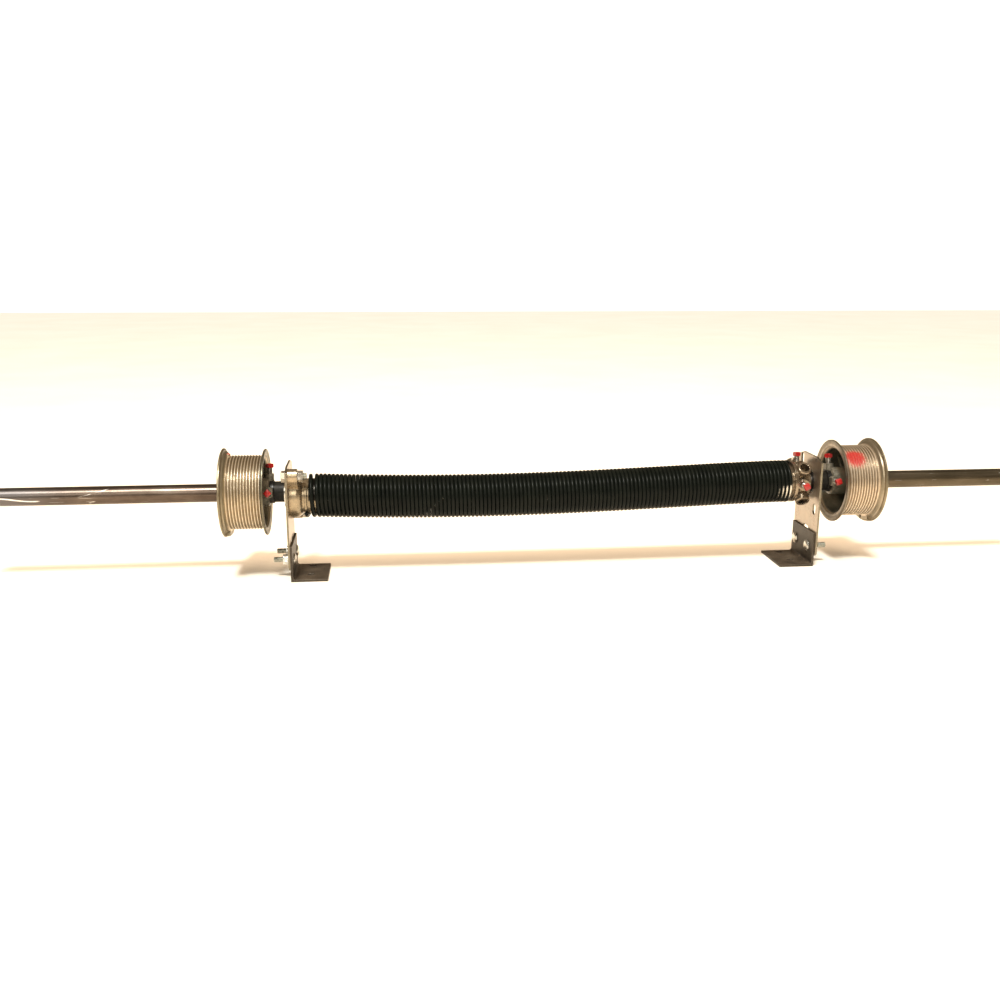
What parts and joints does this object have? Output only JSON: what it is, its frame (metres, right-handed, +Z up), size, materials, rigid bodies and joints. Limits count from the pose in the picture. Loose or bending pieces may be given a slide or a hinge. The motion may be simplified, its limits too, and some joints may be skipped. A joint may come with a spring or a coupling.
{
  "type": "garage door torsion spring assembly",
  "caption": "Torsion spring on a tubular shaft between bearing plates on angle feet, with winding cone and cable drums.",
  "frame": {"origin": "on the floor below the middle of the shaft", "axes": "+X along the shaft towards the winding cone, +Y away from the viewed side, +Z up"},
  "size_m": [1.54, 0.1244, 0.1829],
  "materials": {
    "bare_steel": "bare mill-finish tube with scratches",
    "black_wire": "black coated spring wire, satin, worn bright on the last coils",
    "cast_alloy": "as-cast alloy with a warm tint",
    "red_screw": "steel set screw with a red dipped head",
    "zinc_steel": "zinc plated",
    "galvanised_plate": "smooth galvanised sheet",
    "bearing_steel": "ground steel",
    "black_sleeve": "glossy black",
    "mill_scale_steel": "dark hot-rolled steel with mill scale"
  },
  "bodies": {
    "frame": {"torsion_spring": "black_wire", "stationary_cone": "cast_alloy", "stationary_cone_bolts": "zinc_steel", "stationary_cone_nuts": "zinc_steel", "left_bearing_plate": "galvanised_plate", "right_bearing_plate": "galvanised_plate", "left_bearing_race": "bearing_steel", "right_bearing_race": "bearing_steel", "left_bearing_balls": "bearing_steel", "right_bearing_balls": "bearing_steel", "left_foot": "mill_scale_steel", "right_foot": "mill_scale_steel", "left_carriage_bolts": "zinc_steel", "right_carriage_bolts": "zinc_steel", "left_flange_nuts": "zinc_steel", "right_flange_nuts": "zinc_steel"},
    "shaft_assembly": {"shaft": "bare_steel", "winding_cone": "cast_alloy", "winding_cone_set_screws": "red_screw", "left_bearing_sleeve": "black_sleeve", "right_bearing_sleeve": "black_sleeve", "left_cable_drum": "cast_alloy", "right_cable_drum": "cast_alloy", "left_drum_set_screws": "red_screw", "right_drum_set_screws": "red_screw"}
  },
  "joints": [
    {"name": "shaft_turn", "type": "hinge", "parent": "frame", "child": "shaft_assembly", "pos_m": [0, 0, 0.12065], "axis": [1, 0, 0], "range_deg": [0, 2700], "stiffness_Nm_per_rad": 0.57, "deforming": ["torsion_spring"]}
  ]
}
